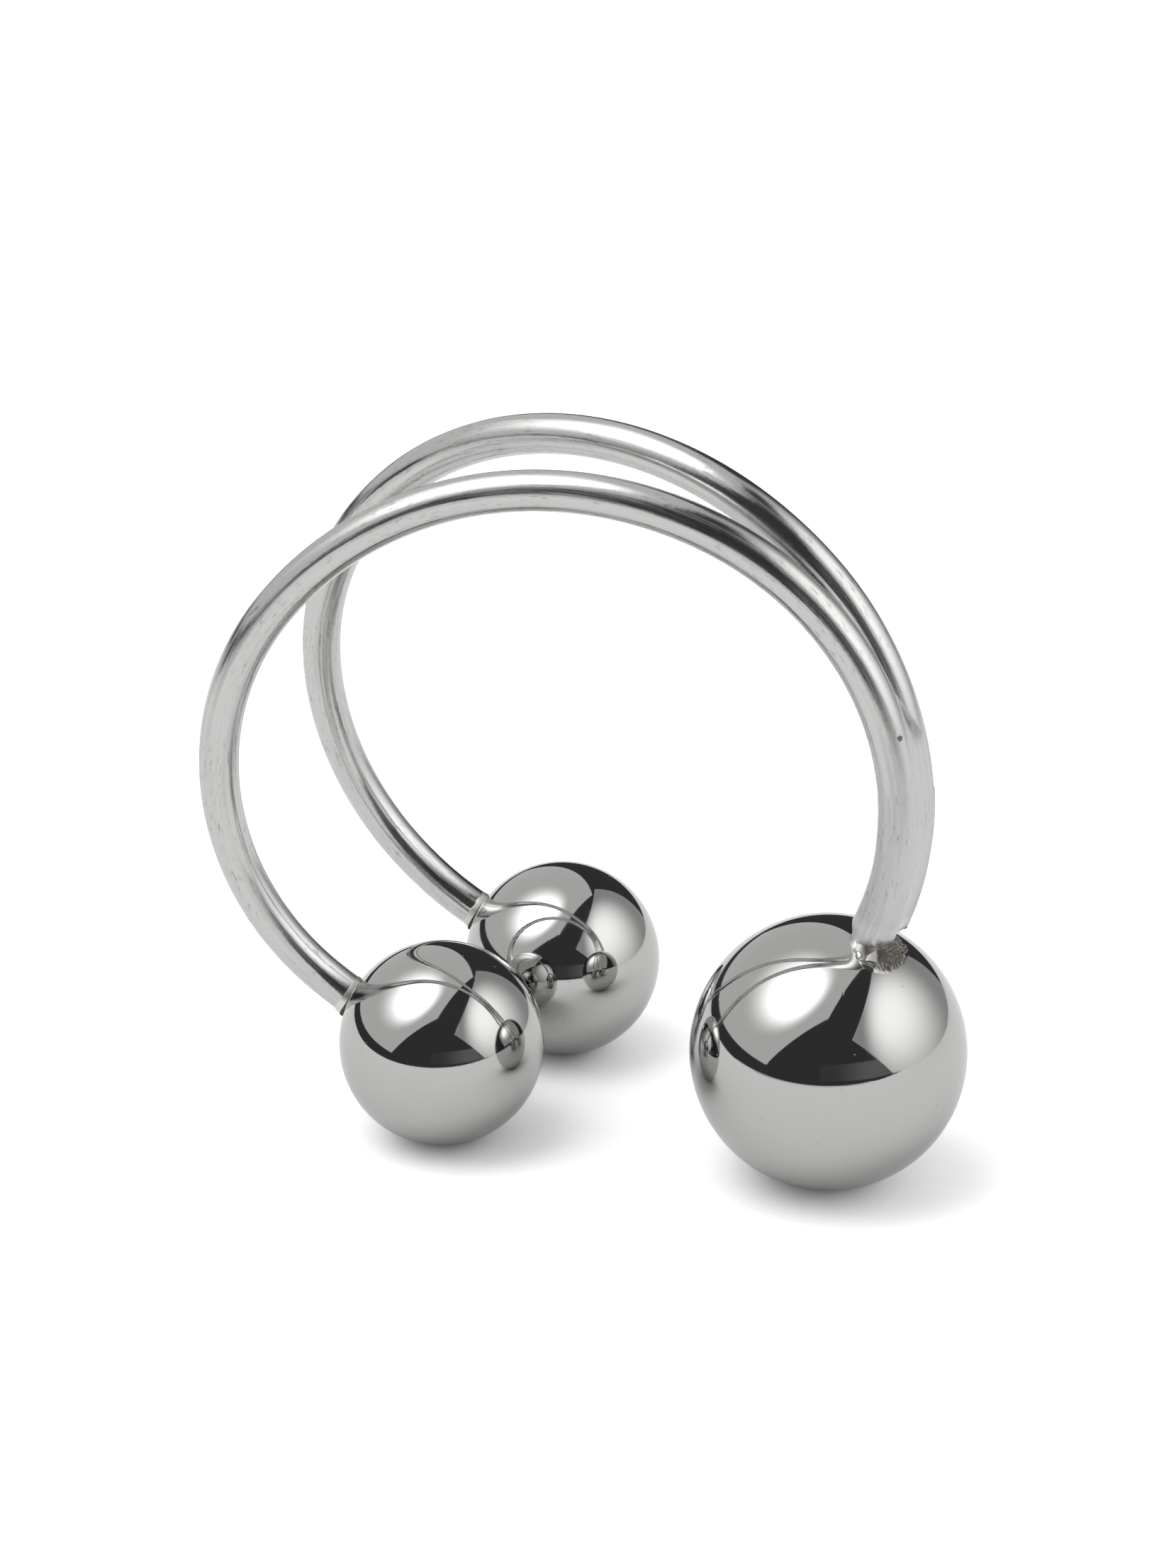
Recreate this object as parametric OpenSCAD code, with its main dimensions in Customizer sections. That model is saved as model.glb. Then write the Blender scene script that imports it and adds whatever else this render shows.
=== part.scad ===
// Adjustable ball ring: two bent wires soldered together at one end, where
// they carry a large ball, and spread at the other into two free arms with a
// small ball each. The three balls are its feet: it stands on them, and the
// finger goes through the hoop along Y.

/* [Wire] */
// Diameter of the round wire
wire_d = 1.15; // [1:0.05:1.5]

/* [Stem] */
// Distance between the two wires' centre lines where they are soldered
wire_pitch = 1.12; // [1:0.01:1.14]
// Place of the stem's foot on the large ball, beside the hoop's centre
foot_x = 8.81; // [8.7:0.01:8.9]
// Depth of the stem's foot below the hoop's centre
foot_drop = 2.01; // [1.9:0.01:2.1]
// Slope of the wires at the foot, from the floor's plane
foot_slope = 64; // [62:0.5:66]
// Radius of the stem's bend, at the wires' centre lines
stem_r = 8.3; // [8:0.1:8.6]
// Angle of the stem's bend
stem_angle = 36.5; // [35:0.5:38]
// Part of that bend where solder fills the groove between the wires
filled_angle = 35; // [20:0.5:36]
// Thickness of that filling, filed to a hair over the wire
filling_t = 1.2; // [1.1:0.01:1.25]

/* [Arms] */
// Radii of the front arm's bends, from the stem on
front_radii = [8.5, 9.44, 10.62, 8.42]; // [7:0.01:12]
// Angles of those bends
front_angles = [34.2, 22.5, 74, 84.8]; // [20:0.1:100]
// Roll of the front wire about its own axis before each of them
front_rolls = [13.7, -2.2, -0.3, -6.8]; // [-30:0.1:30]
// Radius, angle and roll of the front arm's last bend, which ends in its ball's centre
front_last = [5.51, 46.3, 33.7]; // [5:0.01:50]
// Radii of the back arm's bends, from the stem on
back_radii = [10.06, 8.86, 10.62, 8.84]; // [7:0.01:12]
// Angles of those bends
back_angles = [34.3, 31.1, 65.2, 96.9]; // [20:0.1:100]
// Roll of the back wire about its own axis before each of them
back_rolls = [8.1, -24.4, 11.7, -9.6]; // [-30:0.1:30]
// Radius, angle and roll of the back arm's last bend, which ends in its ball's centre
back_last = [9.96, 20, 14.1]; // [5:0.01:50]

/* [Balls] */
// Diameter of the two balls at the arms' ends
small_d = 6; // [5.5:0.1:6.4]
// Diameter of the ball under the stem
large_d = 7.9; // [7.8:0.1:8]
// Place of the large ball's centre on the floor, from under the hoop's centre
large_at = [7.7, -0.5]; // [-1:0.1:8]

/* [Solder] */
// Height that the solder stands proud of the wire where it enters a small ball
collar_proud = 0.06; // [0.05:0.01:0.2]
// Length of that collar along the wire
collar_len = 0.4; // [0.3:0.05:0.6]
// Thickness of the film of solder on the wire at the collar's far end
film_t = 0.02; // [0.01:0.01:0.05]
// Share of the collar that stands outside its ball
collar_out = 0.7; // [0.5:0.05:0.9]
// Bead in front of the stem's foot: beside it, in front of it, diameter, depth in the ball
bead = [0.13, 1.58, 0.28, -0.04]; // [-0.1:0.01:2]
// Drop beside the bead
drop = [0.49, 1.44, 0.4, 0.05]; // [-0.1:0.01:2]
// Flat run of solder beside the foot
run = [0.85, 0.75, 1.4, 0.62]; // [-0.1:0.01:2]

/* [Hidden] */
$fn = 96;

// An arm's tables of bends: the stem's first, then its own ones, then the last
angles = function (own, last) concat([stem_angle], own, [last[1]]);
radii = function (own, last) concat([stem_r], own, [last[0]]);
rolls = function (own, last) concat([0], own, [last[2]]);

// Direction of the wires at the foot, and the direction from there to their bend's centre
foot_along = [cos(foot_slope), 0, sin(foot_slope)];
foot_inward = [-sin(foot_slope), 0, cos(foot_slope)];
// Start of a wire: side is -1 for the front one and 1 for the back one
function foot_of(side) = [foot_x, side * wire_pitch / 2, -foot_drop];

// Point where a wire ends: each bend moves on from point p, direction along, centre side inward
function wire_end(p, along, inward, r, a, roll, i = 0) =
    i == len(r) ? p :
    let (side = cos(roll[i]) * inward + sin(roll[i]) * cross(along, inward))
    wire_end(p + r[i] * ((1 - cos(a[i])) * side + sin(a[i]) * along),
             cos(a[i]) * along + sin(a[i]) * side,
             cos(a[i]) * side - sin(a[i]) * along, r, a, roll, i + 1);

front_end = wire_end(foot_of(-1), foot_along, foot_inward,
    radii(front_radii, front_last), angles(front_angles, front_last), rolls(front_rolls, front_last));
back_end = wire_end(foot_of(1), foot_along, foot_inward,
    radii(back_radii, back_last), angles(back_angles, back_last), rolls(back_rolls, back_last));

// The hoop leans and stands so high that both small balls rest on the floor
lean = -atan2(back_end[2] - front_end[2], back_end[1] - front_end[1]);
hoop_z = small_d / 2 - sin(lean) * front_end[1] - cos(lean) * front_end[2];
// How much thinner every other bend is, and the angle it reaches into its neighbours
drawn_off = 0.01;
bend_lap = 1;
// Moves the middle of the ring's outline on the floor to the origin
middle = [-0.425, -0.89];
middle_3d = [middle[0], middle[1], 0];
// Where the stem's foot and the large ball's centre stand, before that move
foot = [foot_x, sin(lean) * foot_drop, hoop_z - cos(lean) * foot_drop];
large_centre = [large_at[0], large_at[1], large_d / 2];

// Directions at the foot: up out of the large ball, in front of the foot, and beside it
function unit(v) = v / norm(v);
up = unit(foot - large_centre);
in_front = unit([0, -1, 0] + up[1] * up);
beside = cross(up, in_front);

// Stands what is drawn about the hoop's centre on the floor
module stand() translate([middle[0], middle[1], hoop_z]) rotate([lean, 0, 0]) children();

// Puts what is drawn about +Y at the foot of the wires
module at_foot(side) translate(foot_of(side)) rotate([0, 90 - foot_slope, 0]) rotate([90, 0, 0]) children();

// A wire from its start along +Y: each bend turns towards -X after its roll.
// Every other bend is drawn a hair thinner and reaches into its neighbours.
module bent_wire(r, a, roll, i = 0) {
    lap = i % 2 == 0 ? 0 : bend_lap;
    if (i < len(r))
        rotate([0, roll[i], 0]) translate([-r[i], 0, 0]) {
            rotate([0, 0, -lap]) rotate_extrude(angle = a[i] + 2 * lap)
                translate([r[i], 0]) circle(d = lap > 0 ? wire_d - drawn_off : wire_d);
            rotate([0, 0, a[i]]) translate([r[i], 0, 0]) {
                bent_wire(r, a, roll, i + 1);
                if (i == len(r) - 1) arm_end(r[i]);
            }
        }
}

// The small ball at a wire's end and the solder collar where the wire enters it
module arm_end(last_r) {
    collar_turn = (small_d / 2 + collar_len * collar_out) / last_r * 180 / PI;
    thin_end = wire_d + 2 * film_t;
    thick_end = wire_d + 2 * collar_proud;
    sphere(d = small_d);
    translate([-last_r, 0, 0]) rotate([0, 0, -collar_turn]) translate([last_r, 0, 0])
        rotate([-90, 0, 0]) cylinder(d1 = thin_end, d2 = thick_end, h = collar_len);
}

module front_arm() color("silver") stand() at_foot(-1) bent_wire(
    radii(front_radii, front_last), angles(front_angles, front_last), rolls(front_rolls, front_last));

module back_arm() color("silver") stand() at_foot(1) bent_wire(
    radii(back_radii, back_last), angles(back_angles, back_last), rolls(back_rolls, back_last));

// The filed solder between the two wires of the stem
module stem_filling() color("silver") stand() at_foot(0)
    translate([-stem_r, 0, 0]) rotate_extrude(angle = filled_angle)
        translate([stem_r - filling_t / 2, -wire_pitch / 2]) square([filling_t, wire_pitch]);

// Places what is drawn on the large ball, beside and in front of the foot, and that deep in it
module on_large_ball(place) {
    rise = sqrt(pow(large_d / 2, 2) - pow(place[0], 2) - pow(place[1], 2));
    out = unit(place[0] * beside + place[1] * in_front + rise * up);
    translate(middle_3d + large_centre + out * (large_d / 2 - place[3])) children();
}

module large_ball() color("silver") translate(middle_3d + large_centre) sphere(d = large_d);

// Bead, drop and flat run of solder round the stem's foot
module foot_solder() color("silver")
    for (place = [bead, drop, run]) on_large_ball(place) sphere(d = place[2]);

module ball_ring() {
    front_arm();
    back_arm();
    stem_filling();
    large_ball();
    foot_solder();
}

ball_ring();
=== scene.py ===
# %% [markdown]
# # An adjustable ball ring
# The ring is two hard steel wires, bent by hand, soldered side by side at one end and spread at
# the other, with one large and two small polished balls as its ends. The construction comes in
# as a fixed frame, and each cell below makes one piece of it in finer detail, or one finish.

# %% Load the frame
import math

import bmesh
import bpy
from mathutils import Matrix, Quaternion, Vector, noise


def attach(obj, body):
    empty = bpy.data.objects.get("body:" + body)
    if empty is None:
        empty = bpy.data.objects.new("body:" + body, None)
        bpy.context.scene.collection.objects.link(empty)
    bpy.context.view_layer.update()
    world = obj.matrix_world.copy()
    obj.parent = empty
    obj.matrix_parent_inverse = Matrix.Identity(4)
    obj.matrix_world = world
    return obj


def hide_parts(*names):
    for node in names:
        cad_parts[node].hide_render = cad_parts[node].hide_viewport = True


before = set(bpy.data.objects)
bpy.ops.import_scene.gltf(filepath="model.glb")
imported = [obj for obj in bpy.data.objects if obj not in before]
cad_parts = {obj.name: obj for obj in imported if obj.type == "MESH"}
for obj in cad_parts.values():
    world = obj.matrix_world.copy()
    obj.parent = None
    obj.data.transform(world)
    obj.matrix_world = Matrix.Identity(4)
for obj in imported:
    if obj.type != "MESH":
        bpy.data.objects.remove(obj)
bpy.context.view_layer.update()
MM = 0.001

# %% [markdown]
# ## The camera
# The ring is seen from a little above and from its right, about five ring widths away, through a
# long lens, which keeps the balls' sizes honest. A camera could be placed by eye in the viewport.
# Here its place is worked out from two angles and a distance, because those are what one would
# change to walk around the ring.

# %% Camera
VIEW_AZIMUTH = math.radians(24.87)
VIEW_ELEVATION = math.radians(20.14)
VIEW_DISTANCE = 102.04 * MM
LOOK_AT = Vector((-0.489, -0.89, 10.678)) * MM
LENS = 108.5
CLIP_NEAR = 1 * MM


def place_camera():
    """A camera that looks along the view direction at LOOK_AT."""
    forward = Vector((-math.sin(VIEW_AZIMUTH) * math.cos(VIEW_ELEVATION),
                      math.cos(VIEW_AZIMUTH) * math.cos(VIEW_ELEVATION),
                      -math.sin(VIEW_ELEVATION)))
    right = Vector((math.cos(VIEW_AZIMUTH), math.sin(VIEW_AZIMUTH), 0))
    up = right.cross(forward)
    data = bpy.data.cameras.new("photo_camera")
    data.lens = LENS
    data.sensor_fit = "HORIZONTAL"
    data.clip_start = CLIP_NEAR
    camera = bpy.data.objects.new("photo_camera", data)
    turn = Matrix((right, up, -forward)).transposed().to_4x4()
    camera.matrix_world = Matrix.Translation(LOOK_AT - forward * VIEW_DISTANCE) @ turn
    bpy.context.collection.objects.link(camera)
    bpy.context.scene.camera = camera
    return camera


camera = place_camera()
print("camera stands at (mm):", [round(v / MM, 1) for v in camera.location])

# %% [markdown]
# ## The bends
# A wire ring is described by its bends, as a wire bender would: for each bend a radius, an
# angle, and how far the wire is rolled about itself first. Walking along the bends gives the
# centre line of each arm, with the direction of the wire at every point. One could also trace a
# curve by hand, but bends give arcs that are truly round, as a mandrel leaves them.

# %% Bend tables and a walk along them
FOOT = Vector((8.81, 0, -2.01)) * MM
FOOT_SLOPE = math.radians(64)
HALF_PITCH = 0.56 * MM
# Each bend: its radius in mm, then its angle and its roll in degrees
STEM_BEND = (8.3, 36.5, 0)
FRONT_BENDS = [STEM_BEND, (8.5, 34.2, -13.7), (9.44, 22.5, 2.2), (10.62, 74, 0.3),
               (8.42, 84.8, 6.8), (5.51, 46.3, -33.7)]
BACK_BENDS = [STEM_BEND, (10.06, 34.3, 8.1), (8.86, 31.1, -24.4), (10.62, 65.2, 11.7),
              (8.84, 96.9, -9.6), (9.96, 20, 14.1)]
STEP = 0.1 * MM


def walk(bends, side):
    """Points and directions along an arm's centre line; side is -1 for the front arm, 1 for the back."""
    point = FOOT + Vector((0, side * HALF_PITCH, 0))
    along = Vector((math.cos(FOOT_SLOPE), 0, math.sin(FOOT_SLOPE)))
    inward = Vector((-math.sin(FOOT_SLOPE), 0, math.cos(FOOT_SLOPE)))
    path = [(point.copy(), along.copy())]
    for radius_mm, angle_deg, roll_deg in bends:
        radius, angle, roll = radius_mm * MM, math.radians(angle_deg), math.radians(side * roll_deg)
        inward = math.cos(roll) * inward + math.sin(roll) * along.cross(inward)
        centre = point + radius * inward
        steps = math.ceil(radius * angle / STEP)
        for k in range(1, steps + 1):
            a = angle * k / steps
            path.append((centre - radius * (math.cos(a) * inward - math.sin(a) * along),
                         math.cos(a) * along + math.sin(a) * inward))
        point = path[-1][0]
        along, inward = path[-1][1], math.cos(angle) * inward - math.sin(angle) * along
    return path


def length_mm(path):
    """Length of a path in millimetres."""
    return sum((b[0] - a[0]).length for a, b in zip(path, path[1:])) / MM


front_walk, back_walk = walk(FRONT_BENDS, -1), walk(BACK_BENDS, 1)
print("arm lengths in mm:", [round(length_mm(path), 1) for path in (front_walk, back_walk)])

# %% [markdown]
# ## Three feet on the floor
# The ring stands on its balls as on a tripod. Its hoop could be set upright and the balls moved
# to suit, but on the real ring the balls sit at the wires' ends. So the paths are leaned and
# raised until both small balls rest on the floor, and the large ball stands under the stem.

# %% Stand the paths on the floor
SMALL_R = 3.0 * MM
LARGE_R = 3.95 * MM
MIDDLE = Vector((-0.425, -0.89, 0)) * MM
rise = back_walk[-1][0] - front_walk[-1][0]
lean = Quaternion((1, 0, 0), -math.atan2(rise.z, rise.y))
hoop_centre = MIDDLE + Vector((0, 0, SMALL_R - (lean @ front_walk[-1][0]).z))


def stand(path):
    """The path, leaned and raised."""
    return [(lean @ p + hoop_centre, lean @ d) for p, d in path]


front_path, back_path = stand(front_walk), stand(back_walk)
foot = lean @ FOOT + hoop_centre
FRONT_BALL, BACK_BALL = front_path[-1][0], back_path[-1][0]
LARGE_BALL = MIDDLE + Vector((7.7, -0.5, LARGE_R / MM)) * MM
print("small balls at (mm):", [[round(v / MM, 2) for v in c] for c in (FRONT_BALL, BACK_BALL)])

# %% [markdown]
# ## The finishes
# Stainless steel polished to a mirror is nearly neutral grey, and what one sees in it is the
# studio. The marks on it are what make it look handled. They could be painted as pictures, but
# noise needs no unwrapping, and a node group with inputs of its own lets each finish place the
# same marks with its own values. Trees of nodes get long, so a few helpers come first, for a node
# and for a group.

# %% Nodes and groups
def node(tree, kind, **settings):
    """A new node of that kind; settings are its own attributes, or its inputs by name."""
    made = tree.nodes.new(kind)
    for name, value in settings.items():
        if hasattr(made, name):
            setattr(made, name, value)
        else:
            made.inputs[name.replace("_", " ")].default_value = value
    return made


def group(name, inputs, outputs):
    """A shader node group: inputs are numbers with a start value; a list of number outputs."""
    tree = bpy.data.node_groups.new(name, "ShaderNodeTree")
    for title, value in inputs.items():
        socket = tree.interface.new_socket(title, in_out="INPUT", socket_type="NodeSocketFloat")
        socket.default_value = value
    for title in outputs:
        tree.interface.new_socket(title, in_out="OUTPUT", socket_type="NodeSocketFloat")
    return tree, node(tree, "NodeGroupInput"), node(tree, "NodeGroupOutput")


# %% [markdown]
# ## Sums in a tree
# Sums, mixed colours and noise are nodes as well. They could be placed and linked one by one, but
# then the formula gets lost among the links. With a helper for each, a tree reads like the sum
# itself: it takes numbers or sockets, and returns the socket of its result.

# %% Sums, mixed colours and noise
def feed(tree, given, socket):
    """Leads the given socket into this one, or gives this one a number or a colour."""
    if isinstance(given, bpy.types.NodeSocket):
        tree.links.new(given, socket)
    else:
        socket.default_value = given


def ramp(tree, value, low, high, to_low=0.0, to_high=1.0):
    """Maps value from low..high to to_low..to_high, where these are numbers or sockets."""
    made = node(tree, "ShaderNodeMapRange")
    span = {"Value": value, "From Min": low, "From Max": high, "To Min": to_low, "To Max": to_high}
    for title, given in span.items():
        feed(tree, given, made.inputs[title])
    return made.outputs[0]


def sums(tree, operation, a, b):
    """One step of arithmetic on two numbers or sockets."""
    made = node(tree, "ShaderNodeMath", operation=operation)
    for socket, given in zip(made.inputs, (a, b)):
        feed(tree, given, socket)
    return made.outputs[0]


def mixed(tree, factor, a, b):
    """Colour a where the factor is 0 and colour b where it is 1; each is a colour or a socket."""
    made = node(tree, "ShaderNodeMix", data_type="RGBA")
    for title, given in {"Factor": factor, "A": a, "B": b}.items():
        feed(tree, given, made.inputs[title])
    return made.outputs["Result"]


def noise_of(tree, place, scale, detail=2.0):
    """Noise at that scale, from a vector socket."""
    made = node(tree, "ShaderNodeTexNoise", Scale=scale, Detail=detail)
    tree.links.new(place, made.inputs["Vector"])
    return made.outputs["Fac"]


# %% [markdown]
# ## Haze and scratches
# A polished ball isn't a perfect mirror. Its polish is duller here and there, and the cloth has
# left hair-fine scratches in a few directions. Clouds of noise give the haze. Each scratch could
# be a line of its own, but noise that is stretched far in one direction gives all of them at
# once, and three such directions cross each other.

# %% Polish marks
HAZE_SCALE = 900.0
HAZE_EDGES = (0.45, 0.75)
SCRATCH_STRETCH = (6000.0, 250.0, 250.0)
SCRATCH_TURNS = ((0.3, 0.9, 0.2), (1.4, 0.2, 1.1), (0.8, 1.9, 0.6))
SCRATCH_EDGES = (0.68, 0.74)


def polish_marks():
    """Group: haze and scratches over the surface, from Object coordinates."""
    tree, given, out = group("polish_marks", {"Polish": 0.03, "Haze": 0.02}, ["Roughness", "Scratches"])
    place = node(tree, "ShaderNodeTexCoord").outputs["Object"]
    hazy = sums(tree, "ADD", given.outputs["Polish"], given.outputs["Haze"])
    cloud = noise_of(tree, place, HAZE_SCALE, detail=4.0)
    tree.links.new(ramp(tree, cloud, *HAZE_EDGES, given.outputs["Polish"], hazy), out.inputs["Roughness"])
    lines = 0.0
    for turn in SCRATCH_TURNS:
        stretch = node(tree, "ShaderNodeMapping", Rotation=turn, Scale=SCRATCH_STRETCH)
        tree.links.new(place, stretch.inputs["Vector"])
        hair = noise_of(tree, stretch.outputs[0], 1.0, detail=1.0)
        lines = sums(tree, "MAXIMUM", ramp(tree, hair, *SCRATCH_EDGES), lines)
    tree.links.new(lines, out.inputs["Scratches"])
    return tree


POLISH_MARKS = polish_marks()
print("polish marks:", [socket.name for socket in POLISH_MARKS.interface.items_tree])

# %% [markdown]
# ## Dust
# A few specks of dust lie on the steel. They could be small meshes, but then hundreds of them
# would have to lie exactly on the surface. As a mask they cost nothing: space is divided into
# cells, and some of the cells hold one round speck of their own size.

# %% Dust
def dust():
    """Group: small round specks, scattered one to a cell, each with its own size."""
    tree, given, out = group("dust", {"Cells per Metre": 5000.0, "Share": 0.45, "Size": 0.16}, ["Specks"])
    place = node(tree, "ShaderNodeTexCoord").outputs["Object"]
    cells = node(tree, "ShaderNodeTexVoronoi")
    tree.links.new(place, cells.inputs["Vector"])
    tree.links.new(given.outputs["Cells per Metre"], cells.inputs["Scale"])
    chance = node(tree, "ShaderNodeSeparateColor")
    tree.links.new(cells.outputs["Color"], chance.inputs[0])
    kept = sums(tree, "LESS_THAN", chance.outputs[0], given.outputs["Share"])
    reach = sums(tree, "MULTIPLY", chance.outputs[1], given.outputs["Size"])
    inside = sums(tree, "LESS_THAN", cells.outputs["Distance"], reach)
    tree.links.new(sums(tree, "MULTIPLY", inside, kept), out.inputs["Specks"])
    return tree


DUST = dust()
print("dust:", [socket.name for socket in DUST.interface.items_tree])

# %% [markdown]
# ## Marks along a wire
# Wire is drawn through a die, which leaves fine lines along it, and bending and filing add grain
# and short streaks. Object coordinates don't follow the wire round its bends. So each wire will
# carry two attributes, the place across its section and the length along it, and the noise is
# laid out over those, as if the wire were straight.

# %% Drawing lines, grain and streaks
# Each mark: its waves per metre across and along the wire, its detail, and where it fades in
LINE_MARKS = (9000.0, 260.0, 3.0, 0.4, 0.74)
GRAIN_MARKS = (5000.0, 5000.0, 4.0, 0.3, 0.7)
STREAK_MARKS = (14000.0, 3000.0, 3.0, 0.56, 0.76)
PATCH_MARKS = (900.0, 900.0, 2.0, 0.4, 0.6)


def drawing_lines():
    """Group: lines along a wire and grain, from the section and along attributes of the sweep."""
    tree, given, out = group("drawing_lines", {"Grain": 0.5}, ["Lines", "Relief", "Streaks"])
    section = node(tree, "ShaderNodeAttribute", attribute_name="section").outputs["Vector"]
    along = node(tree, "ShaderNodeAttribute", attribute_name="along").outputs["Fac"]
    split = node(tree, "ShaderNodeSeparateXYZ")
    tree.links.new(section, split.inputs[0])

    def marks(waves_across, waves_along, detail, low, high):
        """One kind of mark: 0 where there is none, 1 where it is full."""
        laid_out = node(tree, "ShaderNodeCombineXYZ")
        for k in (0, 1):
            tree.links.new(sums(tree, "MULTIPLY", split.outputs[k], waves_across), laid_out.inputs[k])
        tree.links.new(sums(tree, "MULTIPLY", along, waves_along), laid_out.inputs[2])
        return ramp(tree, noise_of(tree, laid_out.outputs[0], 1.0, detail), low, high)

    lines = marks(*LINE_MARKS)
    grain = sums(tree, "MULTIPLY", marks(*GRAIN_MARKS), given.outputs["Grain"])
    streaks = sums(tree, "MULTIPLY", marks(*STREAK_MARKS), marks(*PATCH_MARKS))
    tree.links.new(lines, out.inputs["Lines"])
    tree.links.new(sums(tree, "ADD", lines, grain), out.inputs["Relief"])
    tree.links.new(streaks, out.inputs["Streaks"])
    return tree


DRAWING_LINES = drawing_lines()
print("drawing lines:", [socket.name for socket in DRAWING_LINES.interface.items_tree])

# %% [markdown]
# ## Ball steel
# The balls are polished bright, with haze, scratches and dust. A plain metal would do from afar,
# but close up it looks too clean. The marks go into the roughness and, through a Bump node, into
# the normal. The solder gets the same marks in its own strengths, so a function makes both.

# %% Ball steel
STEEL_COLOUR = (0.53, 0.53, 0.522, 1)
DUST_ROUGHNESS = 0.6


def blank(name):
    """A new material, its tree and its shader."""
    material = bpy.data.materials.new(name)
    material.use_nodes = True
    return material, material.node_tree, material.node_tree.nodes["Principled BSDF"]


def metal(name, colour):
    """A metal without marks yet: its material, its tree and its shader."""
    material, tree, shader = blank(name)
    shader.inputs["Base Color"].default_value = colour
    shader.inputs["Metallic"].default_value = 1.0
    return material, tree, shader


def placed(tree, shared, **values):
    """The shared group in this tree, with its own values."""
    made = node(tree, "ShaderNodeGroup", node_tree=shared)
    for title, value in values.items():
        made.inputs[title.replace("_", " ")].default_value = value
    return made


def bumped(tree, shader, height, depth):
    """Leads the height into the shader's normal, as relief of that depth in metres."""
    bump = node(tree, "ShaderNodeBump", Distance=depth)
    tree.links.new(height, bump.inputs["Height"])
    tree.links.new(bump.outputs[0], shader.inputs["Normal"])


def polished(name, colour, polish, haze, scratch_depth, specks):
    """Mirror polish with haze, scratches and dust; specks is the share of cells with one."""
    material, tree, shader = metal(name, colour)
    marks = placed(tree, POLISH_MARKS, Polish=polish, Haze=haze)
    dusty = placed(tree, DUST, Share=specks)
    rough = ramp(tree, dusty.outputs["Specks"], 0.0, 1.0, marks.outputs["Roughness"], DUST_ROUGHNESS)
    tree.links.new(rough, shader.inputs["Roughness"])
    bumped(tree, shader, sums(tree, "SUBTRACT", 1.0, marks.outputs["Scratches"]), scratch_depth)
    return material


ball_steel = polished("ball_steel", STEEL_COLOUR, polish=0.03, haze=0.06, scratch_depth=0.15e-6, specks=0.12)
print("nodes in the ball steel:", len(ball_steel.node_tree.nodes))

# %% [markdown]
# ## Solder
# Solder is softer than steel and is hardly polished, so it is a paler and duller metal. At the
# foot the torch has scorched it brown. The brown could come from noise, but it lies where the
# solder was dragged into folds and in a line along the stem. So the mesh will say how scorched
# each point is, in an attribute, and the material mixes the brown in by it.

# %% Solder for the collars and for the foot
COLLAR_COLOUR = (0.78, 0.76, 0.71, 1)
SOLDER_COLOUR = (0.46, 0.45, 0.425, 1)
SCORCHED = (0.2, 0.185, 0.165, 1)


def scorched_solder(name):
    """Solder that is brown where the mesh's scorch attribute says so."""
    material = polished(name, SOLDER_COLOUR, polish=0.19, haze=0.1, scratch_depth=0.5e-6, specks=0.0)
    tree = material.node_tree
    scorch = node(tree, "ShaderNodeAttribute", attribute_name="scorch").outputs["Fac"]
    tone = mixed(tree, scorch, SOLDER_COLOUR, SCORCHED)
    tree.links.new(tone, tree.nodes["Principled BSDF"].inputs["Base Color"])
    return material


solder_metal = polished("solder_metal", COLLAR_COLOUR, polish=0.36, haze=0.15,
                        scratch_depth=0.5e-6, specks=0.0)
foot_metal = scorched_solder("foot_solder_metal")
print("solders:", [solder_metal.name, foot_metal.name])

# %% [markdown]
# ## Wire steel
# The stem is filed to satin, and painted light makes it lightest at its cut end; further on the wires keep
# their drawn polish. These could be separate materials, but then each would end at a hard border. One
# material that fades with the length along the wire has none. The back wire's filed part lies in the shade,
# so the material is made twice, with painted shade in a greyer filed colour for the back wire.

# %% Wire steel, filed at the stem
FILED_TO = 4.2 * MM
POLISHED_FROM = 6.8 * MM
# Where the painted light at the cut end fades out, counted from the tip
TIP_LIGHT_FADE = (0.2 * MM, 0.9 * MM)
# Roughness between the drawing lines and on them
WIRE_POLISH = (0.13, 0.45)
FILED_POLISH = (0.36, 0.5)
WIRE_RELIEF = 1.6e-6
WIRE_COLOUR = (0.62, 0.62, 0.612, 1)
FILED_COLOUR = (0.62, 0.62, 0.617, 1)
# Painted shade: the back wire's filed part, which lies in the shade
SHADED_FILED_COLOUR = (0.53, 0.53, 0.527, 1)
# Painted light: the cut end is made lighter than the filed colour
TIP_PAINTED_LIGHT = (0.86, 0.86, 0.855, 1)
STREAK_COLOUR = (0.3, 0.3, 0.29, 1)


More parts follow.
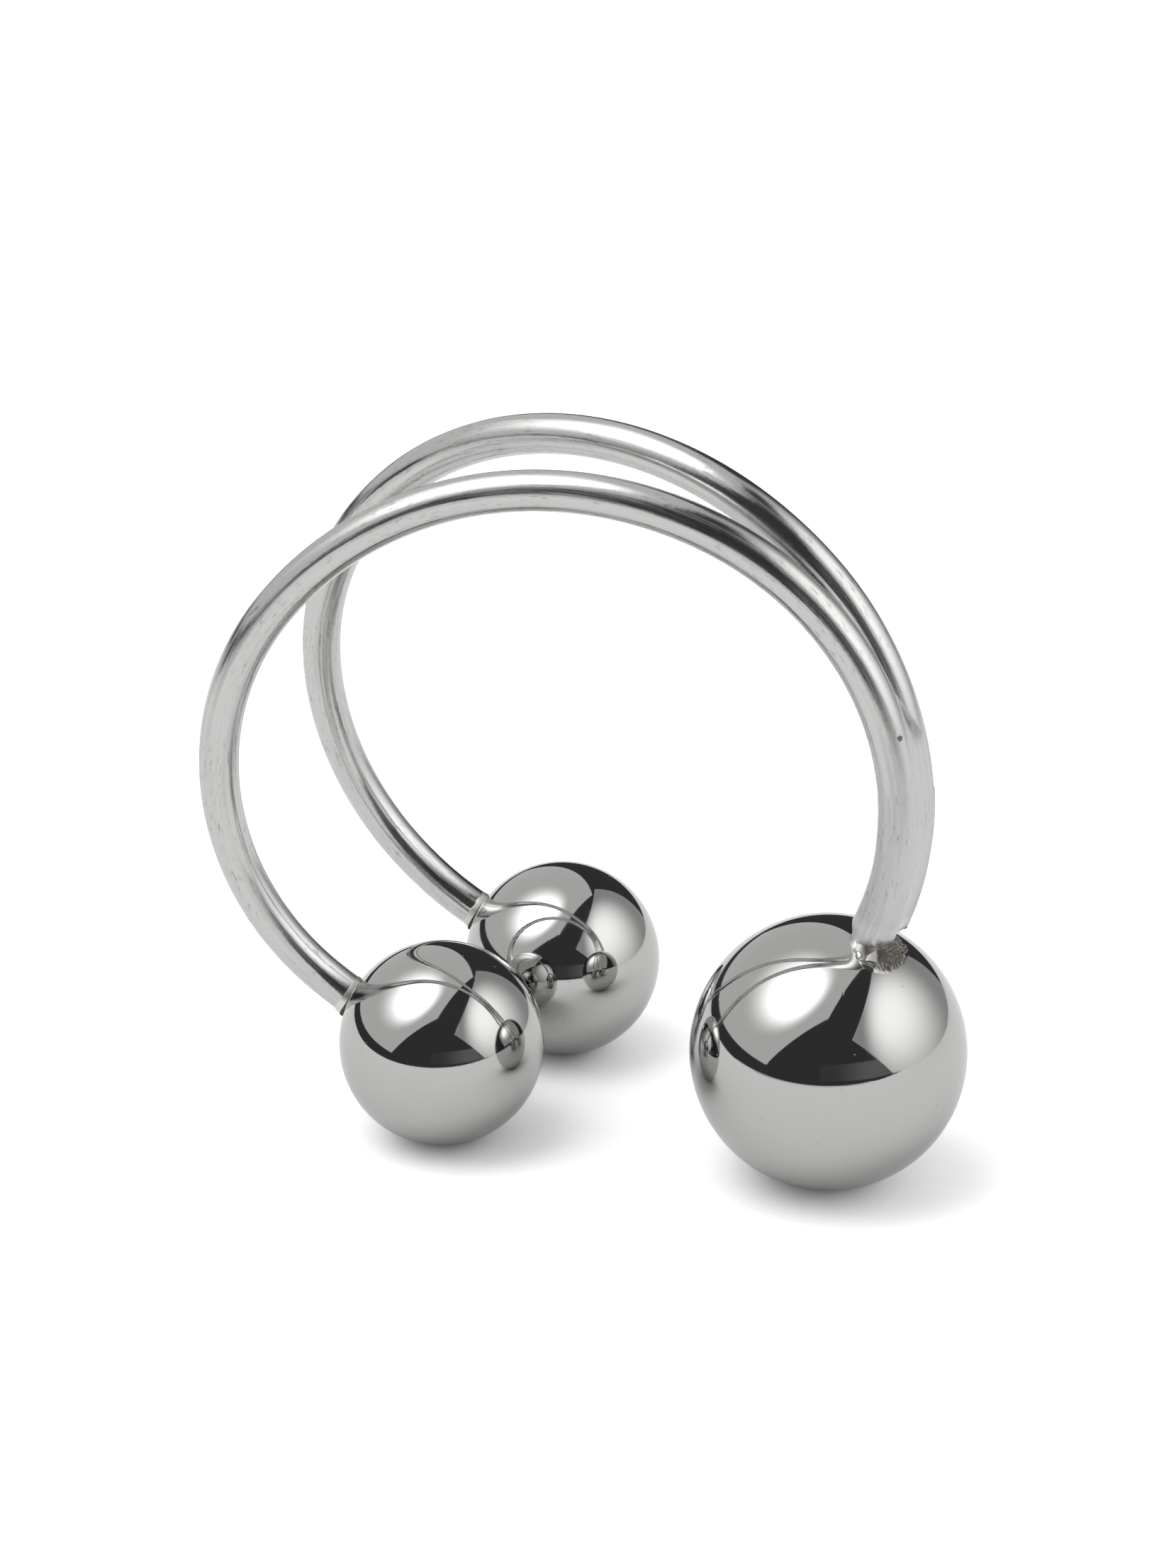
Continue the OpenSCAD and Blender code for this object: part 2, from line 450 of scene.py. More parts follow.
def wire_finish(name, filed_colour):
    """Drawn wire: satin where it is filed, with painted light that makes its cut end lightest, and brighter
    beyond.
    """
    material, tree, shader = metal(name, WIRE_COLOUR)
    drawn = placed(tree, DRAWING_LINES, Grain=0.6)
    along = node(tree, "ShaderNodeAttribute", attribute_name="along").outputs["Fac"]
    filed = ramp(tree, along, FILED_TO, POLISHED_FROM, 1.0, 0.0)
    # Painted light, strongest at the cut end
    tip_light = ramp(tree, along, *TIP_LIGHT_FADE, 1.0, 0.0)
    satin = mixed(tree, tip_light, filed_colour, TIP_PAINTED_LIGHT)
    tone = mixed(tree, filed, WIRE_COLOUR, satin)
    streaked = mixed(tree, drawn.outputs["Streaks"], tone, STREAK_COLOUR)
    tree.links.new(streaked, shader.inputs["Base Color"])
    between = ramp(tree, filed, 0.0, 1.0, WIRE_POLISH[0], FILED_POLISH[0])
    on_lines = ramp(tree, filed, 0.0, 1.0, WIRE_POLISH[1], FILED_POLISH[1])
    rough = ramp(tree, drawn.outputs["Lines"], 0.0, 1.0, between, on_lines)
    tree.links.new(rough, shader.inputs["Roughness"])
    bumped(tree, shader, drawn.outputs["Relief"], WIRE_RELIEF)
    return material


wire_steel = wire_finish("wire_steel", FILED_COLOUR)
# The back wire, with painted shade in its filed part
shaded_back_wire_steel = wire_finish("shaded_back_wire_steel", SHADED_FILED_COLOUR)
print("wire steels:", [wire_steel.name, shaded_back_wire_steel.name])

# %% [markdown]
# ## Residue and painted seam shade
# Polishing paste stays behind in pits as a grey crust, and the gaps of the seams get nearly black painted
# shade.
# It could be a dark patch in the metal's own colour, but it is a dull crust and no metal,
# so it has a material of its own, and small pieces of its own further down.

# %% Painted seam shade and grey residue
RESIDUE_SCALE = 12000.0
RESIDUE_EDGES = (0.3, 0.7)
RESIDUE_ROUGHNESS = (0.5, 0.9)


def residue(name, dark, light):
    """A dull crust, uneven between its two tones: near black it is painted seam shade and the burr's crust,
    grey it is polishing paste.
    """
    material, tree, shader = blank(name)
    place = node(tree, "ShaderNodeTexCoord").outputs["Object"]
    cloud = noise_of(tree, place, RESIDUE_SCALE, detail=3.0)
    tree.links.new(mixed(tree, cloud, dark, light), shader.inputs["Base Color"])
    tree.links.new(ramp(tree, cloud, *RESIDUE_EDGES, *RESIDUE_ROUGHNESS), shader.inputs["Roughness"])
    return material


# Nearly black: painted shade in the seams' gaps, and the burr's dark crust
seam_shade_and_burr_residue = residue("seam_shade_and_burr_residue", dark=(0.012, 0.011, 0.01, 1), light=(0.09, 0.08, 0.065, 1))
pit_residue = residue("pit_residue", dark=(0.06, 0.06, 0.058, 1), light=(0.2, 0.2, 0.19, 1))
print("materials:", [m.name for m in bpy.data.materials])

# %% [markdown]
# ## The wires
# Each arm is drawn round wire. It could be a curve object with a round bevel, but Geometry Nodes
# also let every point carry what the finish reads. The path goes in as a chain of edges, becomes
# a curve, and a round profile makes it wire. The profile's own positions become the section
# attribute. The same tree makes both arms.

# %% Sweep a wire along a path
def wire_tree():
    """Geometry Nodes: a chain of edges becomes round wire with flat ends."""
    tree = bpy.data.node_groups.new("drawn_wire", "GeometryNodeTree")
    sockets = {"Path": "Geometry", "Wire Radius": "Float", "Sides": "Int", "Steel": "Material"}
    for title, kind in sockets.items():
        tree.interface.new_socket(title, in_out="INPUT", socket_type="NodeSocket" + kind)
    tree.interface.new_socket("Wire", in_out="OUTPUT", socket_type="NodeSocketGeometry")
    given, out = node(tree, "NodeGroupInput"), node(tree, "NodeGroupOutput")
    curve = node(tree, "GeometryNodeMeshToCurve")
    circle = node(tree, "GeometryNodeCurvePrimitiveCircle")
    place = node(tree, "GeometryNodeInputPosition")
    kept = node(tree, "GeometryNodeStoreNamedAttribute", data_type="FLOAT_VECTOR", Name="section")
    thickness = node(tree, "GeometryNodeInputNamedAttribute", data_type="FLOAT", Name="thickness")
    sweep = node(tree, "GeometryNodeCurveToMesh", Fill_Caps=True)
    smooth = node(tree, "GeometryNodeSetShadeSmooth")
    real = node(tree, "GeometryNodeRealizeInstances")
    paint = node(tree, "GeometryNodeSetMaterial")
    link = tree.links.new
    link(given.outputs["Path"], curve.inputs["Mesh"])
    link(given.outputs["Wire Radius"], circle.inputs["Radius"])
    link(given.outputs["Sides"], circle.inputs["Resolution"])
    link(circle.outputs["Curve"], kept.inputs["Geometry"])
    link(place.outputs["Position"], kept.inputs["Value"])
    link(curve.outputs["Curve"], sweep.inputs["Curve"])
    link(kept.outputs["Geometry"], sweep.inputs["Profile Curve"])
    link(thickness.outputs["Attribute"], sweep.inputs["Scale"])
    link(sweep.outputs["Mesh"], smooth.inputs["Geometry"])
    link(smooth.outputs["Geometry"], real.inputs["Geometry"])
    link(real.outputs["Geometry"], paint.inputs["Geometry"])
    link(given.outputs["Steel"], paint.inputs["Material"])
    link(paint.outputs["Geometry"], out.inputs["Wire"])
    return tree


WIRE_TREE = wire_tree()
print("nodes in the wire's tree:", len(WIRE_TREE.nodes))

# %% [markdown]
# ## From a node tree to a plain mesh
# A wire leaves the tree as a modifier's result, and the frame takes plain meshes. One could press
# Apply, but that works on whatever is selected. new_from_object reads the finished shape instead.
# Doubles are merged and the faces turned outwards here, for this and for every later piece.

# %% Plain meshes
MERGE_WITHIN = 1e-8


def link_mesh(name, mesh):
    """A new object with that mesh, at the origin."""
    made = bpy.data.objects.new(name, mesh)
    bpy.context.collection.objects.link(made)
    return made


def face_out(mesh):
    """Merges doubles and turns every face outwards."""
    work = bmesh.new()
    work.from_mesh(mesh)
    bmesh.ops.remove_doubles(work, verts=work.verts, dist=MERGE_WITHIN)
    bmesh.ops.recalc_face_normals(work, faces=work.faces)
    work.to_mesh(mesh)
    work.free()


def grown(maker, tree, **inputs):
    """Runs the tree on the maker object, with its inputs by name, and leaves a plain mesh."""
    change = maker.modifiers.new("grow", "NODES")
    change.node_group = tree
    sockets = {s.name: s.identifier for s in tree.interface.items_tree if s.in_out == "INPUT"}
    for title, value in inputs.items():
        change[sockets[title.replace("_", " ")]] = value
    seen = maker.evaluated_get(bpy.context.evaluated_depsgraph_get())
    mesh = bpy.data.meshes.new_from_object(seen)
    maker.modifiers.remove(change)
    maker.data = mesh
    face_out(mesh)
    return maker


# %% [markdown]
# ## Two bent wires
# The wires are cut off at the foot, and a file has broken the edge of the cut end, which is sunk
# a little way into the large ball. The bevel could be cut with a Boolean, but the tree takes a
# thickness at each point of the path, so a few points near the end just get thinner.

# %% Two bent wires
WIRE_R = 0.575 * MM
WIRE_SIDES = 64
TIP = 0.14 * MM
BEVEL = 0.36 * MM
BEVEL_END = 0.55


def bevel(along):
    """How thick the stem is at that length from the foot, as a share; its cut end is below it."""
    return BEVEL_END + (1 - BEVEL_END) * min((along + TIP) / (BEVEL + TIP), 1)


def from_tip(path):
    """The path with one more point, where the wire is cut off a little way into the ball."""
    start, ahead = path[0]
    return [(start - ahead * TIP, ahead)] + path


def bent_wire(name, path, steel):
    """A piece of wire along the path, with its bevelled end first."""
    path = from_tip(path)
    chain = bpy.data.meshes.new(name)
    chain.from_pydata([p for p, _ in path], [(k, k + 1) for k in range(len(path) - 1)], [])
    lengths = [-TIP]
    for (a, _), (b, _) in zip(path, path[1:]):
        lengths.append(lengths[-1] + (b - a).length)
    along = chain.attributes.new("along", "FLOAT", "POINT")
    along.data.foreach_set("value", lengths)
    thickness = chain.attributes.new("thickness", "FLOAT", "POINT")
    thickness.data.foreach_set("value", [bevel(s) for s in lengths])
    return grown(link_mesh(name, chain), WIRE_TREE, Wire_Radius=WIRE_R, Sides=WIRE_SIDES, Steel=steel)


front_arm = bent_wire("front_arm", front_path, wire_steel)
back_arm = bent_wire("back_arm", back_path, shaded_back_wire_steel)
print("faces in the arms:", len(front_arm.data.polygons), len(back_arm.data.polygons))

# %% [markdown]
# ## Skins over rings
# All the other pieces are skins laid over rings of points: a ball, a collar, the filled stem, and
# the puddle of solder. Each could start from a primitive that is bent into shape. Rings are
# simpler, because one function joins them all, and a ring of a single point closes a pole.

# %% Skins over rings
def skinned(name, rings, material, lengths=None, places=None):
    """A closed mesh over rings of points, each with as many points, or with one as a pole."""
    verts, numbers = [], []
    count = max(len(ring) for ring in rings)
    for ring in rings:
        first = len(verts)
        verts.extend(ring)
        numbers.append([first] * count if len(ring) == 1 else list(range(first, first + count)))
    faces = []
    for low, high in zip(numbers, numbers[1:]):
        for k in range(count):
            n = (k + 1) % count
            corner = [low[k], low[n], high[n], high[k]]
            faces.append([v for i, v in enumerate(corner) if v not in corner[:i]])
    mesh = bpy.data.meshes.new(name)
    mesh.from_pydata(verts, [], faces)
    mesh.materials.append(material)
    if lengths:
        mesh.attributes.new("along", "FLOAT", "POINT").data.foreach_set("value", lengths)
        flat = [value for place in places for value in place]
        mesh.attributes.new("section", "FLOAT_VECTOR", "POINT").data.foreach_set("vector", flat)
    face_out(mesh)
    mesh.shade_smooth()
    return link_mesh(name, mesh)


def turned_rings(outline, centre, axis, segments, swell=None):
    """Rings of an outline of (distance along the axis, radius); swell(along, out) adds to it."""
    side = axis.orthogonal().normalized()
    other = axis.cross(side)
    rings = []
    for along, radius in outline:
        if radius == 0:
            rings.append([centre + axis * along])
            continue
        ring = []
        for k in range(segments):
            a = 2 * math.pi * k / segments
            out = side * math.cos(a) + other * math.sin(a)
            ring.append(centre + axis * along + out * (radius + (swell(along, out) if swell else 0)))
        rings.append(ring)
    return rings


# %% [markdown]
# ## The balls
# A ball is turned and tumbled until it is a true sphere, then a blind hole takes the wire. It
# could be a sphere primitive, but turning its outline about the wire's axis also gives the hole
# and its broken edge.

# %% Three balls
BALL_SEGMENTS = 224
BALL_RINGS = 150
SEAT_GAP = 0.05 * MM
SEAT_R = WIRE_R + SEAT_GAP
SEAT_DEPTH = 0.25 * MM
SEAT_EDGE = 0.04 * MM
BROKEN_SHARE = 0.3


def ball_outline(radius, hole):
    """From the far pole to the hole's broken edge, and down its wall to its floor."""
    last = math.pi - math.asin((hole + SEAT_EDGE) / radius) if hole else math.pi
    arc = []
    for k in range(BALL_RINGS + 1):
        a = last * k / BALL_RINGS
        arc.append((-radius * math.cos(a), radius * math.sin(a)))
    arc[0] = (-radius, 0)
    if not hole:
        arc[-1] = (radius, 0)
        return arc
    lip = arc[-1][0]
    broken = SEAT_EDGE * BROKEN_SHARE
    return arc + [(lip - broken, hole + broken), (lip - SEAT_EDGE, hole), (lip - SEAT_DEPTH, hole),
                  (lip - SEAT_DEPTH, 0)]


def ball(name, radius, hole, centre, towards):
    """A ball whose hole, if it has one, opens towards that point."""
    outline = ball_outline(radius, hole)
    axis = (towards - centre).normalized()
    return skinned(name, turned_rings(outline, centre, axis, BALL_SEGMENTS), ball_steel)


def entry(path, centre, radius):
    """The point where a wire meets its ball, and the way out along the wire there."""
    point, along = min(path, key=lambda step: abs((step[0] - centre).length - radius))
    return point, -along


front_entry, front_out = entry(front_path, FRONT_BALL, SMALL_R)
back_entry, back_out = entry(back_path, BACK_BALL, SMALL_R)
front_ball = ball("front_ball", SMALL_R, SEAT_R, FRONT_BALL, front_entry)
back_ball = ball("back_ball", SMALL_R, SEAT_R, BACK_BALL, back_entry)
large_ball = ball("large_ball", LARGE_R, 0, LARGE_BALL, foot)
print("faces in the balls:", [len(piece.data.polygons) for piece in (front_ball, back_ball, large_ball)])

# %% [markdown]
# ## Collars of solder
# Where a wire enters its ball, the solder has drawn up the wire into a thin collar, and at the
# front joint it has run over into a few small lumps underneath. A collar could be a torus, but
# real solder thins out to nothing along the wire, so it is turned from an outline about the
# wire's own direction. Noise swells the lumps out of it.

# %% Collars
COLLAR_SEGMENTS = 96
# Outlines in mm: the distance outwards along the wire, then the radius
COLLAR_OUTLINE = [(-0.1, 0), (-0.1, 0.55), (-0.02, 0.592), (0.0, 0.6), (0.06, 0.6), (0.14, 0.594),
                  (0.22, 0.584), (0.27, 0.576), (0.28, 0.57), (0.28, 0)]
LUMP_HEIGHT = 0.03 * MM
LUMP_SCALE = 9 / MM
LUMP_LIFT = 0.55
LUMPS_UNDER = (0.35, 0.8)
LUMPS_BEGIN = (-0.05 * MM, 0.06 * MM)
LUMPS_END = (0.2 * MM, 0.42 * MM)


def smooth_step(value, low, high):
    """0 below low, 1 above high, and a smooth way between."""
    t = min(max((value - low) / (high - low), 0), 1)
    return t * t * (3 - 2 * t)


def turned(name, outline_mm, centre, axis, segments, material, swell=None):
    """Turns an outline in millimetres."""
    outline = [(along * MM, radius * MM) for along, radius in outline_mm]
    return skinned(name, turned_rings(outline, centre, axis, segments, swell), material)


def lumps(along, out):
    """Lumps of solder on the underside of the front joint, next to the ball."""
    under = smooth_step(-out.z, *LUMPS_UNDER)
    near = smooth_step(along, *LUMPS_BEGIN) * (1 - smooth_step(along, *LUMPS_END))
    rough = noise.noise((out * WIRE_R + Vector((along, 0, 0))) * LUMP_SCALE)
    return LUMP_HEIGHT * under * near * (LUMP_LIFT + rough)


def uneven(height, scale):
    """A swell that leaves the edge uneven all round."""
    return lambda along, out: height * noise.noise(out * scale)


front_collar = turned("front_collar", COLLAR_OUTLINE, front_entry, front_out,
                      COLLAR_SEGMENTS, solder_metal, lumps)
back_collar = turned("back_collar", COLLAR_OUTLINE, back_entry, back_out,
                     COLLAR_SEGMENTS, solder_metal, uneven(height=0.012 * MM, scale=2.5))
print("collars stand at (mm):", [[round(v / MM, 2) for v in p] for p in (front_entry, back_entry)])

# %% [markdown]
# ## Dark seams of painted shade
# Between each collar and its ball a thin dark line shows, the shade in the gap, and here it is painted. A
# dark stripe in the solder's colour would blur there. A ring of its own in painted shade, which stands out
# by a few hundredths of a millimetre, stays sharp from every side.

# %% Seams of painted shade
SEAM_OUTLINE = [(-0.16, 0), (-0.16, 0.56), (-0.06, 0.65), (0.02, 0.66), (0.05, 0.65), (0.065, 0.63),
                (0.065, 0)]
# Nearly black rings of painted shade where the gaps are
front_seam = turned("front_seam", SEAM_OUTLINE, front_entry, front_out, COLLAR_SEGMENTS, seam_shade_and_burr_residue)
back_seam = turned("back_seam", SEAM_OUTLINE, back_entry, back_out, COLLAR_SEGMENTS, seam_shade_and_burr_residue)
print("faces in a seam:", len(front_seam.data.polygons))

# %% [markdown]
# ## The filled stem
# Between the foot and the crotch, solder fills the groove between the two wires and the pair is
# filed into one smooth, satin bar with rounded edges. On the outside the filing stops in a small
# step across the back wire. The bar could be a union of solids, but its film of solder is only
# hundredths of a millimetre thick. So it is a skin over sections across the stem: two arcs, round
# the wires, joined by two flats. Where there is no solder the skin dips below the wire's surface,
# and the wire itself shows.

# %% Sections across the stem
ARC_POINTS = 36
FLAT_POINTS = 14
OUTLINE_POINTS = 2 * (ARC_POINTS + FLAT_POINTS)
SKIN_END = 8.2 * MM
STEP_AT = 4.4 * MM
FILM = 0.03 * MM
FOOT_COAT = 0.045 * MM
FOOT_COAT_END = 2.8 * MM
FRONT_COAT_FADE = (3.0 * MM, 6.5 * MM)
UNDER = -0.03 * MM
FLAT_FILM = 0.009 * MM
GROOVE_SAG = 0.025 * MM
OUTER_NOTCH = (5.6 * MM, SKIN_END)
INNER_NOTCH = (3.5 * MM, 5 * MM)
NOTCH_DEPTH = 0.06 * MM
CROTCH_DEPTH = 0.3 * MM


def coat(angle, along):
    """Solder over the wire at that angle from the outward direction, towards the back wire."""
    thick = FILM + FOOT_COAT * (1 - smooth_step(along, 0, FOOT_COAT_END))
    if math.sin(angle) > 0:
        return thick if along < STEP_AT else UNDER
    fade = smooth_step(along, *FRONT_COAT_FADE)
    return thick * (1 - fade) + UNDER * fade


def flat_level(share, along, outer):
    """Height of the filling over the plane of the wires, from the front wire to the back one."""
    notch = smooth_step(along, *(OUTER_NOTCH if outer else INNER_NOTCH))
    dip = 4 * share * (1 - share)
    return WIRE_R + FLAT_FILM - GROOVE_SAG * dip - notch * (NOTCH_DEPTH + CROTCH_DEPTH * dip)


def section(half, along):
    """One closed outline across the stem, bevelled towards the cut end: (across, outward) pairs."""
    outline = []
    for side, start in ((1, 0), (-1, math.pi)):
        for k in range(ARC_POINTS + 1):
            a = start + math.pi * k / ARC_POINTS
            radius = WIRE_R + coat(a, along)
            outline.append((side * half + math.sin(a) * radius, math.cos(a) * radius))
        for k in range(1, FLAT_POINTS):
            share = k / FLAT_POINTS
            level = flat_level(share, along, side < 0)
            outline.append((side * half * (1 - 2 * share), -side * level))
    return [(across, outward * bevel(along)) for across, outward in outline]


print("points in a section:", len(section(HALF_PITCH, 0)))

# %% [markdown]
# ## Laying the skin
# The sections stand across the two wires, a tenth of a millimetre apart, from the cut end up into
# the crotch, where the filling ends in a notch. One could loft fewer of them, but then the step
# and the notch would be rounded away. The stem has the wires' finish, so its skin carries the same
# two attributes as they do, and the satin runs on from one to the other.

# %% The filling
def fill_stem():
    """The skin of the filed stem, closed at both ends, with what its finish reads."""
    rings, lengths, places = [], [], []
    along = -TIP
    previous = None
    for (front, ahead), (back, _) in zip(from_tip(front_path), from_tip(back_path)):
        middle = (front + back) / 2
        along += (middle - previous).length if previous else 0
        previous = middle
        if along > SKIN_END:
            break
        across = (back - front).normalized()
        outward = across.cross(ahead).normalized()
        outline = section((back - front).length / 2, along)
        if not rings:
            outline = [(0, 0)] + outline
            rings.append([middle])
        rings.append([middle + across * s + outward * h for s, h in outline[-OUTLINE_POINTS:]])
        lengths.extend([along] * len(outline))
        places.extend((s, h, 0) for s, h in outline)
    rings.append([rings[-1][0].lerp(rings[-1][OUTLINE_POINTS // 2], 0.5)])
    lengths.append(along)
    places.append((0, 0, 0))
    return skinned("stem_filling", rings, wire_steel, lengths, places)


stem_filling = fill_stem()
print("faces in the filling:", len(stem_filling.data.polygons))

# %% [markdown]
# ## Solder at the foot
# Where the stem meets the large ball the solder has spread into a puddle. It has a bead at its
# front, a flat side beside the bead, a low ridge along its edge, and a patch that froze in folds
# as the metal was dragged. One could join little spheres, but these shapes flow into each other.
# So the solder is a relief: each place on the ball gets a height, and the shapes are added up or
# the higher one wins. Places are in millimetres beside and in front of the foot.

# %% The solder along the stem and its ridge
STEM_HALF, STEM_REACH = 0.56, 0.6
FILLET_HEIGHT, FILLET_REACH = 0.02, 0.05
RIDGE_FROM, RIDGE_TO, RIDGE_WIDTH, RIDGE_HEIGHT = (0.2, 1.84), (0.7, 1.76), 0.07, 0.05


def away(beside, near, place, reach=(1, 1)):
    """Distance from that place, counted in reaches to the side and to the front."""
    return math.hypot((beside - place[0]) / reach[0], (near - place[1]) / reach[1])


def from_stem(beside, near):
    """Distance from the stem's outline."""
    return math.hypot(beside, near - min(max(near, -STEM_HALF), STEM_HALF)) - STEM_REACH


def fillet(beside, near):
    """The solder's rise along the stem."""
    return FILLET_HEIGHT * math.exp(-max(from_stem(beside, near), 0) / FILLET_REACH)


def ridge(beside, near):
    """A low ridge along the puddle's front edge."""
    along = min(max((beside - RIDGE_FROM[0]) / (RIDGE_TO[0] - RIDGE_FROM[0]), 0), 1)
    nearest = [a + along * (b - a) for a, b in zip(RIDGE_FROM, RIDGE_TO)]
    return RIDGE_HEIGHT * math.exp(-(away(beside, near, nearest) / RIDGE_WIDTH) ** 2)


print("the ridge rises by (mm):", round(ridge(*RIDGE_FROM), 3))

# %% [markdown]
# ## A flat side and a bead
# Before the stem the solder has a flat, sloping side, and next to it stands a bead that is
# flattened too. They could be cut from balls with a Boolean, but as heights they merge with the
# rest by themselves. The flat side is a tilted plane that falls off past its outline, and the
# bead is a ball whose top such a plane cuts off.

# %% The flat side and the bead
SUNK = -0.03
FACET = [(0.38, 1.48), (0.485, 1.3), (0.695, 1.57), (0.39, 1.66)]
FACET_TOP, FACET_SLOPES, FACET_SIDES = 0.1, (0.1, 0.45), 2.0
BEAD_AT, BEAD_RADIUS, BEAD_FLAT, BEAD_SLOPES = (0.12, 1.67), 0.145, 0.095, (0.3, 0.5)


def tilted(beside, near, place, top, slopes):
    """Height of a tilted plane, which is top over that place."""
    return top + slopes[0] * (beside - place[0]) - slopes[1] * (near - place[1])


def facet(beside, near):
    """Height of the solder's flat side before the stem, which falls steeply past its outline."""
    past = 0
    for (b, n), (next_b, next_n) in zip(FACET, FACET[1:] + FACET[:1]):
        edge = math.hypot(next_b - b, next_n - n)
        past = max(past, ((next_n - n) * (beside - b) - (next_b - b) * (near - n)) / edge)
    return tilted(beside, near, FACET[0], FACET_TOP, FACET_SLOPES) - FACET_SIDES * past


def bead(beside, near):
    """Height of the bead, a ball of solder with one flattened side."""
    off = away(beside, near, BEAD_AT)
    if off > BEAD_RADIUS:
        return SUNK
    side = tilted(beside, near, BEAD_AT, BEAD_FLAT, BEAD_SLOPES)
    return min(math.sqrt(BEAD_RADIUS * BEAD_RADIUS - off * off), side)


print("the bead rises by (mm):", round(bead(*BEAD_AT), 3))

# %% [markdown]
# ## Folds in the solder
# Beside the foot the solder froze in fine, wavy folds, and further round it is crumpled. Folds
# like these could be bump in the material, but they are deep enough to catch the light, so they
# are in the height. A cosine gives evenly spaced folds about a distant point, and noise bends
# them.

# %% The whole height
PUDDLE_AT, PUDDLE_REACH = (0.53, 0.78), (0.72, 1.1)
PUDDLE_HEIGHT, PUDDLE_WOBBLE = 0.03, 0.14
# Noise: its waves per mm, and its layer
PUDDLE_NOISE, CRUMPLE_NOISE = (3, 0), (9, 9)
FOLDS_AT, FOLDS_REACH, FOLDS_FADE = (0.88, 0.8), (0.48, 0.9), (0.75, 1)
FOLDS_ABOUT, FOLD_PITCH, FOLD_HEIGHT = (2.1, 0.55), 0.13, 0.017
# The noises that bend the folds: by how much, then the same two values
FOLD_WARPS = ((8, 1.9, 5), (3, 5, 2))
CRUMPLE_AT, CRUMPLE_FADE, CRUMPLE_HEIGHT = (1.0, 0.15), (0.3, 0.6), 0.035


def waves(beside, near, per_mm, layer):
    """Noise over the ball, with so many waves per millimetre; each layer has its own."""
    return noise.noise(Vector((beside * per_mm, near * per_mm, layer)))


def folded(beside, near):
    """How much the solder is dragged into folds there: 1 in their middle, 0 past their edge."""
    return 1 - smooth_step(away(beside, near, FOLDS_AT, FOLDS_REACH), *FOLDS_FADE)


def folds(beside, near):
    """Height of the folds."""
    warp = sum(amount * waves(beside, near, per_mm, layer) for amount, per_mm, layer in FOLD_WARPS)
    turn = 2 * math.pi * away(beside, near, FOLDS_ABOUT) / FOLD_PITCH + warp
    return FOLD_HEIGHT * folded(beside, near) * math.cos(turn)


def crumple(beside, near):
    """Height of the crumpled patch."""
    inside = 1 - smooth_step(away(beside, near, CRUMPLE_AT), *CRUMPLE_FADE)
    return CRUMPLE_HEIGHT * inside * waves(beside, near, *CRUMPLE_NOISE)


def solder_height(beside, near):
    """How high the solder stands on the ball there; below zero it is inside the ball."""
    off = away(beside, near, PUDDLE_AT, PUDDLE_REACH)
    edge = off * (1 + PUDDLE_WOBBLE * waves(beside, near, *PUDDLE_NOISE))
    height = max(PUDDLE_HEIGHT * (1 - edge ** 4), SUNK)
    if off > 1:
        return height
    height += fillet(beside, near) + ridge(beside, near) + folds(beside, near) + crumple(beside, near)
    return max(height, facet(beside, near), bead(beside, near))


print("the puddle's middle rises by (mm):", round(solder_height(*PUDDLE_AT), 3))

# %% [markdown]
# ## The puddle
# The relief needs points that are dense enough for its folds. A grid could carry it, but a fan of
# rings round the puddle's middle ends in a clean outer edge. The rings lie on the ball, each point
# is raised by the height there, and two more rings close the skin underneath, inside the ball.

# %% The puddle
FAN_RINGS = 120
FAN_SEGMENTS = 216
FAN_SPREAD = 1.12
FAN_FLOOR = -0.1
up = (foot - LARGE_BALL).normalized()
near_way = (Vector((0, -1, 0)) + up * up.y).normalized()
beside_way = up.cross(near_way)


def on_ball(beside, near, height):
    """The point at that height over the large ball, beside and in front of the foot, all in mm."""
    b, n = beside * MM, near * MM
    out = beside_way * b + near_way * n + up * math.sqrt(LARGE_R * LARGE_R - b * b - n * n)
    return LARGE_BALL + out * (1 + height * MM / LARGE_R)


def fan_ring(share, height_at):
    """One ring of the fan round the puddle's middle."""
    ring = []
    for k in range(FAN_SEGMENTS):
        a = 2 * math.pi * k / FAN_SEGMENTS
        beside = PUDDLE_AT[0] + PUDDLE_REACH[0] * FAN_SPREAD * share * math.cos(a)
        near = PUDDLE_AT[1] + PUDDLE_REACH[1] * FAN_SPREAD * share * math.sin(a)
        ring.append(on_ball(beside, near, height_at(beside, near)))
    return ring


def fan():
    """The rings from the puddle's middle outwards, and back to it underneath."""
    rings = [[on_ball(*PUDDLE_AT, solder_height(*PUDDLE_AT))]]
    for k in range(1, FAN_RINGS + 1):
        rings.append(fan_ring(k / FAN_RINGS, solder_height))
    for share in (1, 0.5):
        rings.append(fan_ring(share, lambda beside, near: FAN_FLOOR))
    rings.append([on_ball(*PUDDLE_AT, FAN_FLOOR)])
    return rings


foot_solder = skinned("foot_solder", fan(), foot_metal)
print("faces in the foot's solder:", len(foot_solder.data.polygons))

# %% [markdown]
# ## Scorch marks
# The solder is brown in its folds and in a thin line along the stem. The brown could be painted
# on the mesh by hand, but the functions that gave the heights already know where those places
# are. So they are asked again at each point, and the answer goes into the scorch attribute.

# %% Scorch marks
STEM_LINE = (0.02, 0.08)
STEM_LINE_DARK = 1.5


def scorched(point):
    """How scorched the solder is at that point of the mesh."""
    out = point - LARGE_BALL
    place = (out.dot(beside_way) / MM, out.dot(near_way) / MM)
    in_line = 1 - smooth_step(from_stem(*place), *STEM_LINE)
    return max(folded(*place), STEM_LINE_DARK * in_line)


scorch = [scorched(vertex.co) for vertex in foot_solder.data.vertices]
foot_solder.data.attributes.new("scorch", "FLOAT", "POINT").data.foreach_set("value", scorch)
print("scorched points:", sum(value > 0.5 for value in scorch), "of", len(scorch))

